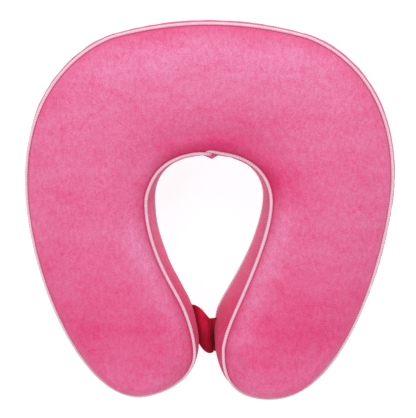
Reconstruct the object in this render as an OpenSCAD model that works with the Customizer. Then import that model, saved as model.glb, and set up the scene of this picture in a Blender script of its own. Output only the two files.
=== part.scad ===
// U-shaped travel neck pillow: a moulded foam core in a thin liner, inside a removable
// cover of two panels, a boxed side band, piped seams, a back zip and a front strap.
// Lies flat on z = 0 with the back of the neck at +Y and the open arms at -Y.

/* [Outline] */
// Y of the back edge at the middle
back_y = 157; // [152:1:162]
// Radius of the back edge, where the zip runs
back_r = 300; // [280:5:320]
// Half of the arc that the back edge follows, degrees
back_half_angle = 15; // [14:0.5:16]
// Y of the neck hole's back edge
hole_y = 52; // [47:1:57]
// Widest point of the neck hole, across and along
hole_side = [52, 10]; // [5:1:57]

/* [Left arm] */
// Widest point of the outer edge, across and along
left_wide = [152.5, 25]; // [20:0.5:156]
// Lowest point of the arm's tip, across and along
left_tip = [60, -156]; // [-160:1:64]
// Where the arm comes closest to the other one, across and along
left_gap = [12.5, -117]; // [-120:0.5:14]

/* [Right arm] */
// Widest point of the outer edge, across and along
right_wide = [152.5, 28]; // [20:0.5:156]
// Lowest point of the arm's tip, across and along
right_tip = [52, -158]; // [-161:1:64]
// Where the arm comes closest to the other one, across and along
right_gap = [10, -114]; // [-120:0.5:14]

/* [Heights] */
// Height of the bottom piped seam
bottom_seam = 5; // [4:0.5:8]
// Height of the top piped seam
top_seam = 72; // [66:1:78]
// Rise of the top panel above its seam
crown = 20; // [14:1:22]
// Bulge of the side wall round the neck hole
bulge_hole = 2; // [1:0.5:3]
// Bulge of the side wall round the arm tips
bulge_tip = 5.5; // [4:0.5:6]
// Bulge of the side wall round the outside
bulge_outer = 6.5; // [5:0.5:7]
// Bulge of the side wall on the right arm's outer side
bulge_right = 8; // [6:0.5:9]
// Bulge of the left arm's wall beside the gap
bulge_gap = 2.2; // [2:0.1:4]
// How far the right arm's wall leans out at its foot, behind the gap
right_lean = 7.6; // [0:0.2:8]
// How far the left arm's wall leans in at its foot, beside the gap
left_lean = 2.5; // [0:0.1:3]

/* [Fabric] */
// Thickness of the velour cover
fabric_t = 1.2; // [1:0.1:1.4]
// Thickness of the foam's knitted liner
liner_t = 0.6; // [0.5:0.1:0.7]
// Play between two layers
play = 0.3; // [0.2:0.1:0.4]
// Outside radius of the piping
piping_r = 1.5; // [1.3:0.1:1.6]
// Radius of the cord inside the piping
piping_cord_r = 0.8; // [0.7:0.1:0.9]

/* [Zip] */
// Height of the zip's middle line
zip_z = 30; // [28:1:34]
// Half of the zip's length as an angle on the back arc, degrees
zip_half_angle = 14; // [12:0.5:14.4]
// Half height of the open slot between the two zip bands
zip_slot = 5.5; // [5:0.5:6]
// Length of the pull tab
pull_len = 24; // [18:1:28]

/* [Strap] */
// Height of the strap's fold line
strap_z = 37; // [34:1:40]
// Thickness of the padded strap
strap_t = 2.5; // [2:0.5:3]

/* [Hidden] */
$fn = 64;

velour = "#e0648f";
satin = "#f0c8d6";
crimson = "#b01838";
knit = "#f4f0ea";
foam = "#f2e6b8";

// Stretches of each half of the seam line, in steps: hole, arm side, tip, outer side, back.
HOLE_STEPS = 12;
ARM_STEPS = 12;
TIP_STEPS = 8;
BACK_STEPS = 8;
ARC_STEPS = 4;
TIP_AT = HOLE_STEPS + ARM_STEPS + TIP_STEPS;
LAST = 2 * TIP_AT;
// How far each curve keeps its heading: hole side, gap, gap to tip, tip, tip to side, side.
LEFT_REACH = [63, 45, 30, 9, 50, 75];
RIGHT_REACH = [39, 10, 40, 15, 71, 40];
HOLE_REACH = [33, 25];
BACK_REACH = [93, 10];
ARC_CENTRE = [0, back_y - back_r];

function bez(c, t) =
    pow(1 - t, 3) * c[0] + 3 * pow(1 - t, 2) * t * c[1]
    + 3 * (1 - t) * t * t * c[2] + pow(t, 3) * c[3];
function bez_dir(c, t) =
    pow(1 - t, 2) * (c[1] - c[0]) + 2 * (1 - t) * t * (c[2] - c[1]) + t * t * (c[3] - c[2]);
function outward(v) = [v[1], -v[0]] / norm(v);
function stretch(c, steps) =
    [for (i = [0 : steps - 1]) [bez(c, i / steps), outward(bez_dir(c, i / steps))]];
function on_arc(a, r) = ARC_CENTRE + r * [sin(a), cos(a)];

// Half of the seam line, from the hole's back edge round the arm's tip to the back edge.
// Each entry is a point and the direction that points out of the pillow there, then the
// wall's bulge at mid height and its lean at the foot.
function half_line(wide, tip, gap, reach, bulges, leans) =
    let (
        hole_top = [0, hole_y],
        arc_end = on_arc(back_half_angle, back_r),
        arc_dir = [cos(back_half_angle), -sin(back_half_angle)],
        line = seam_line(hole_top, arc_end, arc_dir, wide, tip, gap, reach)
    )
    [for (i = [0 : LAST]) [line[i][0], line[i][1], lookup(i, bulges), lookup(i, leans)]];
function seam_line(hole_top, arc_end, arc_dir, wide, tip, gap, reach) =
    concat(
        stretch([hole_top, hole_top + [HOLE_REACH[0], 0], hole_side + [0, HOLE_REACH[1]], hole_side],
            HOLE_STEPS),
        stretch([hole_side, hole_side - [0, reach[0]], gap + [0, reach[1]], gap], ARM_STEPS),
        stretch([gap, gap - [0, reach[2]], tip - [reach[3], 0], tip], TIP_STEPS),
        stretch([tip, tip + [reach[4], 0], wide - [0, reach[5]], wide], ARM_STEPS + TIP_STEPS),
        stretch([wide, wide + [0, BACK_REACH[0]], arc_end + BACK_REACH[1] * arc_dir, arc_end],
            BACK_STEPS),
        [for (i = [0 : ARC_STEPS])
            let (a = back_half_angle * (1 - i / ARC_STEPS))
            [on_arc(a, back_r), [sin(a), cos(a)]]]
    );

// The bulge of each arm's wall by step, full at mid height and none at the seams.
RIGHT_BULGES = [
    [0, bulge_hole],
    [HOLE_STEPS + 4, bulge_hole],
    [TIP_AT - 11, 3],
    [TIP_AT - 8, 4.5],
    [TIP_AT, bulge_tip],
    [LAST - 19, bulge_right],
    [LAST - 9, bulge_right],
    [LAST - ARC_STEPS, bulge_outer]
];
LEFT_BULGES = [
    [0, bulge_hole],
    [HOLE_STEPS + 4, bulge_hole],
    [TIP_AT - 14, 3],
    [TIP_AT - 11, 3],
    [TIP_AT - 10, bulge_gap],
    [TIP_AT - 8, bulge_gap],
    [TIP_AT - 5, bulge_tip],
    [TIP_AT, bulge_tip],
    [LAST - 17, bulge_outer]
];
// The lean of each arm's wall by step, full at the bottom seam and none at the top seam.
RIGHT_LEANS = [
    [HOLE_STEPS - 1, 0],
    [TIP_AT - 16, 0.2 * right_lean],
    [TIP_AT - 13.5, 0.6 * right_lean],
    [TIP_AT - 11.3, right_lean],
    [TIP_AT - 10, 0.87 * right_lean],
    [TIP_AT - 9, 0.4 * right_lean],
    [TIP_AT - 8, 0.13 * right_lean],
    [TIP_AT - 7, 0]
];
LEFT_LEANS = [
    [TIP_AT - 16, 0],
    [TIP_AT - 14, -left_lean],
    [TIP_AT - 12, -left_lean],
    [TIP_AT - 9, -0.8 * left_lean],
    [TIP_AT - 8, -0.25 * left_lean],
    [TIP_AT - 7, 0]
];
function wall_shape(z) =
    let (t = abs(2 * z - top_seam - bottom_seam) / (top_seam - bottom_seam))
    t < 1 ? 1 - pow(t, 2.4) : 0;

RIGHT = half_line(right_wide, right_tip, right_gap, RIGHT_REACH, RIGHT_BULGES, RIGHT_LEANS);
LEFT_AS_RIGHT = half_line(left_wide, left_tip, left_gap, LEFT_REACH, LEFT_BULGES, LEFT_LEANS);
function flip(v) = [-v[0], v[1]];
LEFT = [for (e = LEFT_AS_RIGHT) [flip(e[0]), flip(e[1]), e[2], e[3]]];

// A point of the top seam line moved out by d, and one of the bottom seam line.
function moved(e, d) = e[0] + d * e[1];
function foot_moved(e, d) = moved(e, d + e[3]);
// How far the wall stands out past the top seam at height z.
function lean_at(e, z) = e[3] * max(0, min(1, (top_seam - z) / (top_seam - bottom_seam)));
// A point of the side wall's outer face, set in by depth.
function wall_point(half, i, z, depth) =
    let (
        e = half[i],
        q = moved(e, e[2] * wall_shape(z) + lean_at(e, z) - depth)
    )
    [q[0], q[1], z];

// The whole seam line, as steps [half, index], from the right end of the back arc round the
// tips and the hole to the left end of it.
AROUND = concat(
    [for (i = [LAST - ARC_STEPS : -1 : 0]) [RIGHT, i]],
    [for (i = [1 : LAST - ARC_STEPS]) [LEFT, i]]
);
// The closed bottom seam line moved out by d, for flat outlines.
function outline(d) = concat(
    [for (i = [0 : LAST]) foot_moved(RIGHT[i], d)],
    [for (i = [LAST - 1 : -1 : 1]) foot_moved(LEFT[i], d)]
);

// Triangles that close a ring of n points, as rungs between its two long sides.
function ladder(n) =
    let (half = floor(n / 2))
    concat(
        [for (j = [0 : half - 2]) each [[j, j + 1, n - 1 - j], [j + 1, n - 2 - j, n - 1 - j]]],
        n % 2 == 1 ? [[half - 1, half, half + 1]] : []
    );
// A closed body through rings of equal length; each ring goes the same way round. The
// four-cornered facets are split along one diagonal, or along the other.
module loft(rings, other_way = false) {
    n = len(rings[0]);
    m = len(rings);
    points = [for (r = rings) for (p = r) p];
    sides = [for (i = [0 : m - 2]) for (j = [0 : n - 1])
        let (
            k = (j + 1) % n,
            a = i * n + j,
            b = i * n + k,
            c = (i + 1) * n + k,
            d = (i + 1) * n + j
        )
        each other_way ? [[a, b, d], [b, c, d]] : [[a, c, d], [a, b, c]]];
    start = [for (t = ladder(n)) [t[0], t[2], t[1]]];
    end = [for (t = ladder(n)) (m - 1) * n * [1, 1, 1] + t];
    polyhedron(points, concat(start, sides, end));
}

// Ladder of cross sections from the left tip to the right tip: [half, inner step, outer step].
RUNGS = concat(
    [for (i = [TIP_AT - 1 : -1 : 1]) [LEFT, i, LAST - i]],
    [for (i = [0 : TIP_AT - 1]) [RIGHT, i, LAST - i]]
);
// The crown dies away where an arm closes at its tip.
FULL_CROWN_W = 90;
function crown_at(w) = crown * (1 - pow(1 - min(1, w / FULL_CROWN_W), 2.5));
function crown_shape(v) = pow(1 - pow(abs(2 * v - 1), 3), 0.85);
function tip_fade(i) = lookup(i, [[TIP_AT - 4, 1], [TIP_AT - 2, 0.6], [TIP_AT - 1, 0.1]]);

// Clear distance between the piping's middle and the edges sewn to it.
SEAM_GAP = piping_r + 0.2;
BAND_LOW = bottom_seam + SEAM_GAP;
BAND_HIGH = top_seam - SEAM_GAP;
BAND_STEPS = 4;
function levels(z0, z1) = [for (k = [0 : BAND_STEPS]) z0 + (z1 - z0) * k / BAND_STEPS];
function reversed(list) = [for (i = [len(list) - 1 : -1 : 0]) list[i]];

// Extra room behind the back edge for the zip and its slider.
ZIP_ROOM = 4;
function room_at(i) = lookup(i, [
    [LAST - HOLE_STEPS, 0],
    [LAST - ARC_STEPS - 1, ZIP_ROOM],
    [LAST, ZIP_ROOM]
]);
// How much lower the filling's crown is than the cover's inside.
CROWN_PLAY = 0.8;
// The filling's shoulder draws in under the top seam by this much.
SHOULDER = 1.5;
function fill_depth(z, depth) = z < BAND_HIGH ? depth : depth + SHOULDER;
CROWN_STEPS = [0.06, 0.2, 0.5, 0.8, 0.94];

// One filled cross section of the pillow, set in by depth all round.
function section(rung, depth) =
    let (
        half = rung[0],
        a = rung[1],
        b = rung[2],
        foot = 4,
        heights = levels(BAND_LOW, BAND_HIGH),
        inner = [for (z = heights) wall_point(half, a, z, fill_depth(z, depth))],
        outer = [for (z = reversed(heights))
            wall_point(half, b, z, fill_depth(z, depth) + room_at(b))],
        p = moved(half[a], -depth),
        q = moved(half[b], -depth - room_at(b)),
        lift = crown_at(norm(q - p)) * tip_fade(a),
        low = depth,
        p_low = foot_moved(half[a], -depth - foot),
        q_low = foot_moved(half[b], -depth - foot - room_at(b))
    )
    concat(
        [[p_low[0], p_low[1], low]],
        inner,
        [for (v = CROWN_STEPS)
            let (c = p * (1 - v) + q * v)
            [c[0], c[1], top_seam + lift * crown_shape(v) - depth - CROWN_PLAY]],
        outer,
        [[q_low[0], q_low[1], low]]
    );
module filled(depth) loft([for (r = RUNGS) section(r, depth)]);

LINER_DEPTH = fabric_t + play;
FOAM_DEPTH = LINER_DEPTH + liner_t + play;

module foam_core() color(foam) filled(FOAM_DEPTH);

module foam_liner() color(knit)
    difference() {
        filled(LINER_DEPTH);
        filled(LINER_DEPTH + liner_t);
    }

PANEL_STEPS = [0, 0.04, 0.12, 0.28, 0.5, 0.72, 0.88, 0.96, 1];
function panel_line(rung, drop) =
    let (
        p = moved(rung[0][rung[1]], -SEAM_GAP),
        q = moved(rung[0][rung[2]], -SEAM_GAP),
        lift = crown_at(norm(q - p)) * tip_fade(rung[1])
    )
    [for (v = PANEL_STEPS)
        let (c = p * (1 - v) + q * v)
        [c[0], c[1], top_seam + 0.4 + lift * crown_shape(v) - drop]];

module top_panel() color(velour)
    loft([for (r = RUNGS) concat(panel_line(r, 0), reversed(panel_line(r, fabric_t)))]);

// Flat where the pillow rests; its rim turns up to the bottom seam.
BOTTOM_INSET = 4;
module bottom_panel() color(velour)
    linear_extrude(fabric_t) polygon(outline(-BOTTOM_INSET));

module side_band() color(velour)
    loft([for (s = AROUND)
        let (heights = levels(BAND_LOW, BAND_HIGH))
        concat(
            [for (z = heights) wall_point(s[0], s[1], z, fabric_t)],
            [for (z = reversed(heights)) wall_point(s[0], s[1], z, 0)]
        )], true);

// A strip of the wall across the zip's length, between two heights.
ZIP_BAND_STEPS = 9;
ZIP_BAND_HALF_ANGLE = back_half_angle - 0.1;
function back_point(a, z, depth) =
    let (q = on_arc(a, back_r + bulge_outer * wall_shape(z) - depth)) [q[0], q[1], z];
module zip_band(z0, z1)
    loft([for (k = [0 : ZIP_BAND_STEPS])
        let (
            a = ZIP_BAND_HALF_ANGLE * (1 - 2 * k / ZIP_BAND_STEPS),
            heights = levels(z0, z1)
        )
        concat(
            [for (z = reversed(heights)) back_point(a, z, fabric_t)],
            [for (z = heights) back_point(a, z, 0)]
        )]);
module zip_band_upper() color(velour) zip_band(zip_z + zip_slot, BAND_HIGH);
module zip_band_lower() color(velour) zip_band(BAND_LOW, zip_z - zip_slot);

// A round tube or rod that follows the seam line at height z; its ends meet at the hole's back.
SEAM_PATH = concat(
    [for (i = [0 : LAST]) RIGHT[i]],
    [for (i = [LAST - 1 : -1 : 0]) LEFT[i]]
);
ENDS_APART = 0.5;
function seam_ring(e, shift, z, r, sides) =
    [for (k = [0 : sides - 1])
        let (a = 360 * k / sides, q = moved(e, lean_at(e, z) + r * cos(a)))
        [q[0] + shift, q[1], z + r * sin(a)]];
module seam_rod(z, r, sides, apart = ENDS_APART) {
    last = len(SEAM_PATH) - 1;
    loft([for (i = [0 : last])
        seam_ring(SEAM_PATH[i], i == 0 ? apart : (i == last ? -apart : 0), z, r, sides)]);
}
PIPING_SIDES = 8;
CORD_SIDES = 6;
CORD_PLAY = 0.1;
module piping(z) color(satin)
    difference() {
        seam_rod(z, piping_r, PIPING_SIDES);
        seam_rod(z, piping_cord_r + CORD_PLAY, CORD_SIDES, ENDS_APART / 2);
    }
module top_piping() piping(top_seam);
module bottom_piping() piping(bottom_seam);
module top_piping_cord() color("white") seam_rod(top_seam, piping_cord_r, CORD_SIDES);
module bottom_piping_cord() color("white") seam_rod(bottom_seam, piping_cord_r, CORD_SIDES);

// Everything of the zip is turned about the back arc's centre. ZIP_R is the wall's outer face.
ZIP_R = back_r + bulge_outer * wall_shape(zip_z);
TAPE_T = 0.6;
TAPE_FACE = ZIP_R - 2.4;
COIL_T = 1.8;
COIL_FACE = ZIP_R - 0.5;
COIL_W = 1.4;
COIL_GAP = 0.6;
module arc_bar(r0, r1, z0, z1, a0, a1)
    translate([ARC_CENTRE[0], ARC_CENTRE[1], 0])
        rotate([0, 0, 90 + a0])
            rotate_extrude(angle = a1 - a0, $fn = 360)
                translate([r0, z0]) square([r1 - r0, z1 - z0]);
module full_bar(r0, r1, z0, z1) arc_bar(r0, r1, z0, z1, -zip_half_angle, zip_half_angle);
TAPE_EDGE = 1;
TAPE_REACH = zip_slot + 2.5;

module zip_tape_upper() color("#c4486f")
    full_bar(TAPE_FACE - TAPE_T, TAPE_FACE, zip_z + TAPE_EDGE, zip_z + TAPE_REACH);
module zip_tape_lower() color("#c4486f")
    full_bar(TAPE_FACE - TAPE_T, TAPE_FACE, zip_z - TAPE_REACH, zip_z - TAPE_EDGE);
module zip_coil_upper() color("#d86a90")
    full_bar(COIL_FACE - COIL_T, COIL_FACE, zip_z + COIL_GAP, zip_z + COIL_GAP + COIL_W);
module zip_coil_lower() color("#d86a90")
    full_bar(COIL_FACE - COIL_T, COIL_FACE, zip_z - COIL_GAP - COIL_W, zip_z - COIL_GAP);

// Small crimped blocks across the mesh line at both ends of the zip.
STOP_ANGLE = 0.3;
module zip_stops() color("silver")
    for (side = [-1, 1])
        arc_bar(COIL_FACE - COIL_T, COIL_FACE + 0.4, zip_z - 0.5, zip_z + 0.5,
            side * (zip_half_angle - STOP_ANGLE) - STOP_ANGLE,
            side * (zip_half_angle - STOP_ANGLE) + STOP_ANGLE);

// The slider rests at the closed end, on the right.
SLIDER_AT = -12.4;
SLIDER_HALF_ANGLE = 0.85;
SLIDER_HALF_W = 4;
SLIDER_FACE = ZIP_R + 1.1;
SLIDER_UNDER = ZIP_R + 0.1;
SLIDER_BACK = TAPE_FACE - TAPE_T - 0.5;
SLIDER_PLATE_T = 0.9;
LIP_W = 1.4;
LIP_DROP = 1.5;
WEB_HALF_W = 0.3;
PIN_R = 0.6;
PIN_OUT = 2.9;
EAR_Z = 1.9;
EAR_T = 0.8;
EAR_HALF_L = 1.3;
module slider_bar(r0, r1, z0, z1, a0 = -SLIDER_HALF_ANGLE, a1 = SLIDER_HALF_ANGLE)
    arc_bar(r0, r1, zip_z + z0, zip_z + z1, SLIDER_AT + a0, SLIDER_AT + a1);
// Puts a child, drawn round the pull's pin, in its place on the slider.
module at_pin()
    translate([ARC_CENTRE[0], ARC_CENTRE[1], zip_z])
        rotate([0, 0, 90 + SLIDER_AT])
            translate([ZIP_R + PIN_OUT, 0, 0])
                children();

module zip_slider() color("silver")
    union() {
        slider_bar(SLIDER_UNDER, SLIDER_FACE, -SLIDER_HALF_W, SLIDER_HALF_W);
        for (side = [-1, 1])
            slider_bar(SLIDER_UNDER - LIP_DROP, SLIDER_FACE,
                side > 0 ? SLIDER_HALF_W - LIP_W : -SLIDER_HALF_W,
                side > 0 ? SLIDER_HALF_W : LIP_W - SLIDER_HALF_W);
        slider_bar(SLIDER_BACK - SLIDER_PLATE_T, SLIDER_BACK, -SLIDER_HALF_W, SLIDER_HALF_W);
        slider_bar(SLIDER_BACK - SLIDER_PLATE_T, SLIDER_FACE, -WEB_HALF_W, WEB_HALF_W,
            -SLIDER_HALF_ANGLE, -SLIDER_HALF_ANGLE / 2);
        at_pin() {
            translate([0, 0, -EAR_Z - EAR_T / 2])
                cylinder(r = PIN_R, h = 2 * EAR_Z + EAR_T);
            for (side = [-1, 1])
                translate([-PIN_OUT + 0.6, -EAR_HALF_L, side * EAR_Z - EAR_T / 2])
                    cube([PIN_OUT + 0.4, 2 * EAR_HALF_L, EAR_T]);
        }
    }

EYE_R = 1.4;
EYE_BORE = PIN_R + 0.1;
EYE_HALF_W = 1.3;
PULL_T = 1;
PULL_HALF_W = 3;
NECK_L = 6;
module zip_pull() color("silver")
    at_pin()
        difference() {
            union() {
                translate([0, 0, -EYE_HALF_W])
                    cylinder(r = EYE_R, h = 2 * EYE_HALF_W);
                translate([-PULL_T / 2, -NECK_L, -EYE_HALF_W])
                    cube([PULL_T, NECK_L, 2 * EYE_HALF_W]);
                translate([-PULL_T / 2, PULL_HALF_W - pull_len, -PULL_HALF_W])
                    cube([PULL_T, pull_len - NECK_L + 1 - PULL_HALF_W, 2 * PULL_HALF_W]);
                translate([-PULL_T / 2, PULL_HALF_W - pull_len, 0])
                    rotate([0, 90, 0])
                        cylinder(r = PULL_HALF_W, h = PULL_T);
            }
            translate([0, 0, -EYE_HALF_W - 1])
                cylinder(r = EYE_BORE, h = 2 * EYE_HALF_W + 2);
        }

// The strap's sewn end lies flat on the left arm's inner wall, up to the fold line.
SEWN_T = 1.4;
SEWN_LOW = 16;
SEWN_HIGH = strap_z - strap_t - play;
SEWN_FROM = HOLE_STEPS + 9;
SEWN_TO = HOLE_STEPS + ARM_STEPS + 1;
module strap_sewn_end() color(crimson)
    loft([for (i = [SEWN_FROM : SEWN_TO])
        let (heights = levels(SEWN_LOW, SEWN_HIGH))
        concat(
            [for (z = heights) wall_point(LEFT, i, z, -play)],
            [for (z = reversed(heights)) wall_point(LEFT, i, z, -play - SEWN_T)]
        )]);

// The strap's free part, from the fold line across the gap; back edge and front edge are
// the same run of points, [x, y, height above the fold line] of its top face.
BACK_EDGE = [
    [-14.2, -85, 0], [-10.5, -85.8, 0.8], [-6.5, -88.3, 1], [-3, -93, 0.2], [0.4, -98.5, -1]
];
FRONT_EDGE = [
    [-8.2, -121.5, 0], [-5.6, -124.8, 0.8], [-2.6, -127.4, 1], [0.6, -129.2, 0.2], [3.2, -129.6, -1]
];
function strap_corner(e, drop) = [e[0], e[1], strap_z + e[2] - drop];
module strap() color(crimson)
    loft([for (k = [0 : len(BACK_EDGE) - 1]) [
        strap_corner(BACK_EDGE[k], strap_t),
        strap_corner(FRONT_EDGE[k], strap_t),
        strap_corner(FRONT_EDGE[k], 0),
        strap_corner(BACK_EDGE[k], 0)
    ]]);

// Hook tape under the strap's end, loop tape on the tab from the right arm.
PATCH = [[-4.6, -100], [0.6, -103], [1.8, -127], [-2.2, -124]];
HOOK_Z = 31.6;
TAPE_PAIR_T = 1;
module hook_patch() color("#8c1830")
    translate([0, 0, HOOK_Z]) linear_extrude(TAPE_PAIR_T) polygon(PATCH);
module loop_patch() color("#a02440")
    translate([0, 0, HOOK_Z - play - TAPE_PAIR_T]) linear_extrude(TAPE_PAIR_T) polygon(PATCH);

TAB_TOP = HOOK_Z - play - TAPE_PAIR_T;
TAB_T = 1.8;
TAB = [[-5.4, -99.3], [3, -99], [4.3, -107], [3.9, -118], [4.9, -128.5], [-1.6, -127.5]];
module fastening_tab() color(crimson)
    translate([0, 0, TAB_TOP - TAB_T])
        linear_extrude(TAB_T)
            polygon(TAB);

foam_core();
foam_liner();
top_panel();
bottom_panel();
side_band();
zip_band_upper();
zip_band_lower();
top_piping();
top_piping_cord();
bottom_piping();
bottom_piping_cord();
zip_tape_upper();
zip_tape_lower();
zip_coil_upper();
zip_coil_lower();
zip_stops();
zip_slider();
zip_pull();
strap_sewn_end();
strap();
hook_patch();
fastening_tab();
loop_patch();
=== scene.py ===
"""A U shaped travel neck pillow: velour panels, piped seams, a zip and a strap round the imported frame.

Lengths are in millimetres until a mesh is made. The seam line is the one that the CAD model follows.
"""

import math

import bmesh
import bpy
import numpy as np
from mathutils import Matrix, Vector, noise


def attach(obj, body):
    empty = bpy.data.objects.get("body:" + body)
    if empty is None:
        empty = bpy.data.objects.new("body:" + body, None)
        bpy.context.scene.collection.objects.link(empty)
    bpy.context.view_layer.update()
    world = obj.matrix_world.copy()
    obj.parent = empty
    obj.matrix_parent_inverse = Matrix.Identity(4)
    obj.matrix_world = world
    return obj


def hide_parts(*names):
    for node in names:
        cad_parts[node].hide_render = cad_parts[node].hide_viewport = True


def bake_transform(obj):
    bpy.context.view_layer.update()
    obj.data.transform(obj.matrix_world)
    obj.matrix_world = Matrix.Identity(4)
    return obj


MM = 0.001

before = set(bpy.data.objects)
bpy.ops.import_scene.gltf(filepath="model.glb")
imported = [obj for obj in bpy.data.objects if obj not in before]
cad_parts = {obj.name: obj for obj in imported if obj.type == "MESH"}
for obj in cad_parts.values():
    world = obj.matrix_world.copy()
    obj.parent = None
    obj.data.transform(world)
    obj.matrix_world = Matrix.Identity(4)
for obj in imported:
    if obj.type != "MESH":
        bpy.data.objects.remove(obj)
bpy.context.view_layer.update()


# ---- The seam line ----

BACK_Y = 157
BACK_R = 300
BACK_HALF_ANGLE = math.radians(15)
BACK_BULGE = 6.5
ARC_CENTRE = np.array([0, BACK_Y - BACK_R])
HOLE_TOP = np.array([0, 52])
HOLE_SIDE = np.array([52, 10])
HOLE_REACH = [33, 25]
BACK_REACH = [93, 10]
# How hollow a pointed tuck's flanks are: 1 would make them straight.
TUCK_HOLLOW = 1.3


def pointed(begin, deepest, end, depth):
    """A tuck by step: nothing at both ends and this deep at the deepest step."""
    along = np.linspace(-1, 1, 17)
    steps = np.interp(along, [-1, 0, 1], [begin, deepest, end])
    return np.stack([steps, depth * (1 - np.abs(along)) ** TUCK_HOLLOW], -1)


# By step: the walls' bulges, full at mid height, and leans, full at the foot, and tucks,
# where the sewn seam is drawn in a little.
RIGHT_ARM = {"side": 1, "wide": [152.5, 28], "tip": [52, -158], "gap": [10, -114],
             "reach": [39, 10, 40, 15, 71, 40],
             "bulges": [(0, 1), (9, 1), (16, 2), (21, 3), (24, 4.5), (32, 5.5), (45, 8), (55, 8),
                        (60, BACK_BULGE)],
             "leans": [(11, 0), (16, 1.5), (18.5, 4.6), (20.7, 7.6), (22, 6.6), (23, 3), (24, 1),
                       (25, 0)],
             "tucks": pointed(20, 23.6, 27.5, 2.7)}
LEFT_ARM = {"side": -1, "wide": [152.5, 25], "tip": [60, -156], "gap": [12.5, -117],
            "reach": [63, 45, 30, 9, 50, 75],
            "bulges": [(0, 1), (9, 1), (16, 2), (18, 3.6), (21, 3.6), (22, 2.9), (24, 2.9), (26, 5.4),
                       (47, BACK_BULGE)],
            "leans": [(16, 0), (18, -2.5), (20, -2.5), (23, -2), (24, -0.6), (25, 0)],
            "tucks": [(9.5, 0), (11, 1.1), (12.2, 1.5), (13.2, 1.1), (14.2, 0.3), (15.5, 0), (20, 0),
                      (21.3, 0.9), (23.2, 0.9), (24.2, 0)]}

# Stretches of each half in steps: hole, arm side, tip, outer side, back, back arc.
HOLE_STEPS = 12
ARM_STEPS = 12
TIP_STEPS = 8
BACK_STEPS = 8
ARC_STEPS = 4
TIP_AT = HOLE_STEPS + ARM_STEPS + TIP_STEPS
LAST = 2 * TIP_AT
ARC_FROM = LAST - ARC_STEPS
JOIN_OVER = (-0.8, -0.4, 0, 0.4, 0.8)


def facing(angle):
    """Directions away from the back arc's centre; the angle is from +Y towards +X."""
    return np.stack([np.sin(angle), np.cos(angle)], -1)


def on_arc(angle, radius):
    """Points on circles round the back arc's centre."""
    return ARC_CENTRE + np.asarray(radius, float)[..., None] * facing(angle)


def raised(flat, z):
    """Places with heights: one height for all, or one for each."""
    heights = np.broadcast_to(np.asarray(z, float)[..., None], (*flat.shape[:-1], 1))
    return np.concatenate([flat, heights], -1)


def stretches(arm):
    """The curves of half a seam line, each as (steps, its four control points)."""
    wide, tip, gap = (np.array(arm[k], float) for k in ("wide", "tip", "gap"))
    reach = arm["reach"]
    arc_end = on_arc(BACK_HALF_ANGLE, BACK_R)
    arc_way = np.array([math.cos(BACK_HALF_ANGLE), -math.sin(BACK_HALF_ANGLE)])
    across, up = np.array([1.0, 0.0]), np.array([0.0, 1.0])
    return [
        (HOLE_STEPS, [HOLE_TOP, HOLE_TOP + HOLE_REACH[0] * across,
                      HOLE_SIDE + HOLE_REACH[1] * up, HOLE_SIDE]),
        (ARM_STEPS, [HOLE_SIDE, HOLE_SIDE - reach[0] * up, gap + reach[1] * up, gap]),
        (TIP_STEPS, [gap, gap - reach[2] * up, tip - reach[3] * across, tip]),
        (ARM_STEPS + TIP_STEPS, [tip, tip + reach[4] * across, wide - reach[5] * up, wide]),
        (BACK_STEPS, [wide, wide + BACK_REACH[0] * up, arc_end + BACK_REACH[1] * arc_way, arc_end]),
    ]


def along_arm(arm, key, steps):
    """An arm's bulges, leans or tucks at these steps, each an average over JOIN_OVER."""
    steps = np.asarray(steps, float)
    table = np.array(arm[key], float)
    return np.mean([np.interp(steps + shift, *table.T) for shift in JOIN_OVER], axis=0)


def seam(arm, steps):
    """Points of half the seam line at these steps, and the directions out of the pillow there."""
    steps = np.atleast_1d(np.asarray(steps, float))
    place = np.zeros((len(steps), 2))
    out = np.zeros((len(steps), 2))
    begin = 0
    for count, c in stretches(arm):
        here = (steps >= begin) & (steps <= begin + count)
        t = ((steps[here] - begin) / count)[:, None]
        place[here] = ((1 - t) ** 3 * c[0] + 3 * (1 - t) ** 2 * t * c[1]
                       + 3 * (1 - t) * t * t * c[2] + t ** 3 * c[3])
        way = (1 - t) ** 2 * (c[1] - c[0]) + 2 * (1 - t) * t * (c[2] - c[1]) + t * t * (c[3] - c[2])
        out[here] = np.stack([way[:, 1], -way[:, 0]], -1) / np.linalg.norm(way, axis=1)[:, None]
        begin += count
    arc = steps > ARC_FROM
    angle = BACK_HALF_ANGLE * (LAST - steps[arc]) / ARC_STEPS
    place[arc] = on_arc(angle, BACK_R)
    out[arc] = facing(angle)
    place = place - along_arm(arm, "tucks", steps)[:, None] * out
    mirror = np.array([arm["side"], 1])
    return place * mirror, out * mirror


def bulge_at(arm, steps):
    return along_arm(arm, "bulges", steps) + 0.5 * along_arm(arm, "tucks", steps)


def lean_at(arm, steps):
    return along_arm(arm, "leans", steps) + along_arm(arm, "tucks", steps)


# ---- Heights and thicknesses ----

BOTTOM_SEAM = 5
TOP_SEAM = 72
CROWN = 20
FULL_WIDTH = 90
FABRIC_T = 1.2
LINER_T = 0.6
PLAY = 0.3
PIPING_R = 1.5
CORD_R = 0.8
SEAM_GAP = PIPING_R + 0.2
BAND_LOW = BOTTOM_SEAM + SEAM_GAP
BAND_HIGH = TOP_SEAM - SEAM_GAP


def wall_shape(z):
    """A bulge's share at these heights: 1 half way up, 0 at both seams."""
    t = np.abs(2 * np.asarray(z, float) - TOP_SEAM - BOTTOM_SEAM) / (TOP_SEAM - BOTTOM_SEAM)
    return np.where(t < 1, 1 - np.minimum(t, 1) ** 2.4, 0)


def lean_shape(z):
    """A lean's share at these heights: 1 at the bottom seam, 0 at the top one."""
    return np.clip((TOP_SEAM - np.asarray(z, float)) / (TOP_SEAM - BOTTOM_SEAM), 0, 1)


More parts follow.
